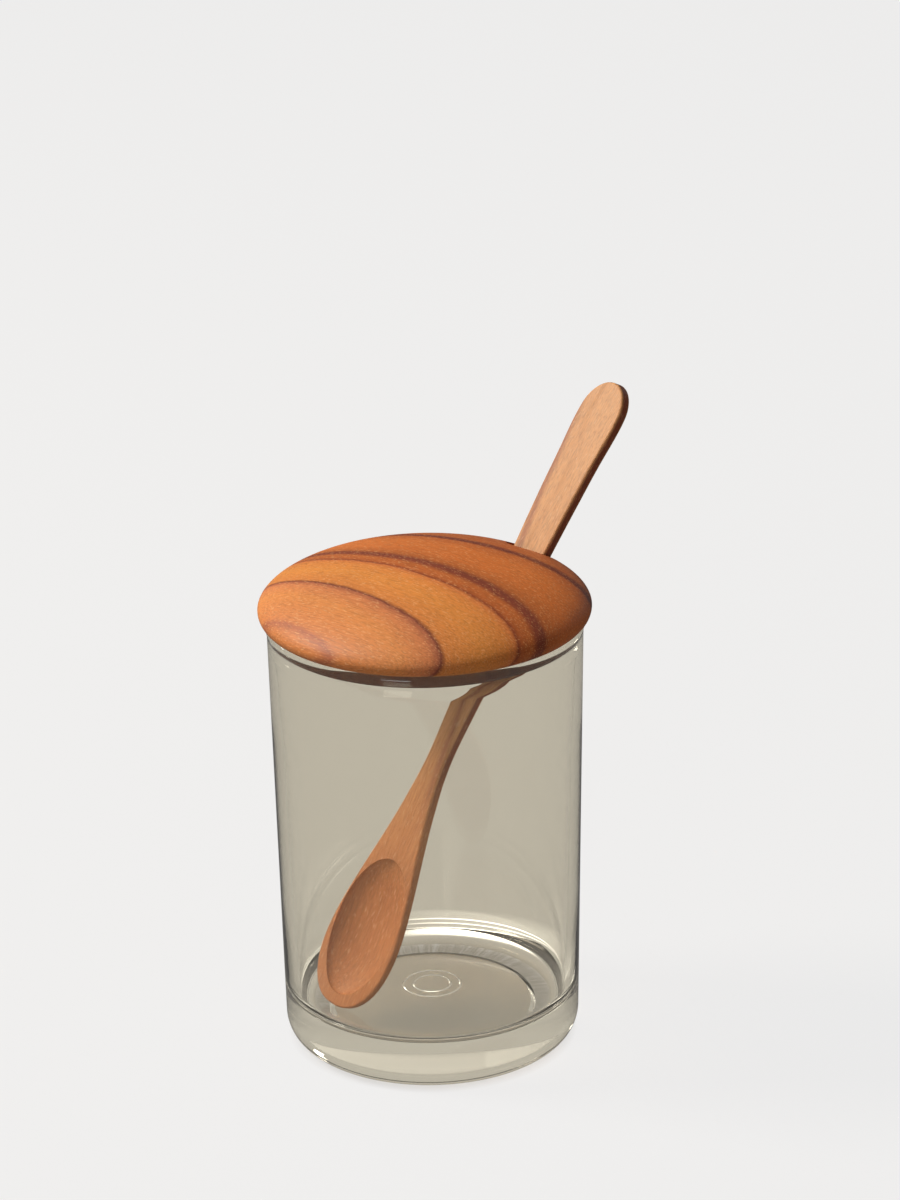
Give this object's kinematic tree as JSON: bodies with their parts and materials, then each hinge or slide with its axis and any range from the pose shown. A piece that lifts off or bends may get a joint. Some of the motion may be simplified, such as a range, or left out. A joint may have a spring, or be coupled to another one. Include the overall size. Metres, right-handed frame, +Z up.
{
  "type": "glass condiment jar",
  "caption": "Clear tumbler-shaped glass condiment jar with a thick base, a domed wooden lid set on its rim and a wooden spoon that leans out through a slot in the lid.",
  "frame": {"origin": "centre of the jar's round foot, on the surface that the jar stands on", "axes": "+Z up along the jar's axis; +X to the side that the spoon's handle leans to, +Y away from the viewer; the handle leans out between +X and +Y"},
  "size_m": [0.0857, 0.078, 0.1461],
  "materials": {
    "jar": "clear pressed glass, smooth, fire-polished rim",
    "lid": "oiled hardwood, satin, arched grain",
    "spoon": "oiled hardwood, satin, grain along the handle"
  },
  "bodies": {
    "root": {"jar": "jar", "lid": "lid", "spoon": "spoon"}
  },
  "joints": []
}
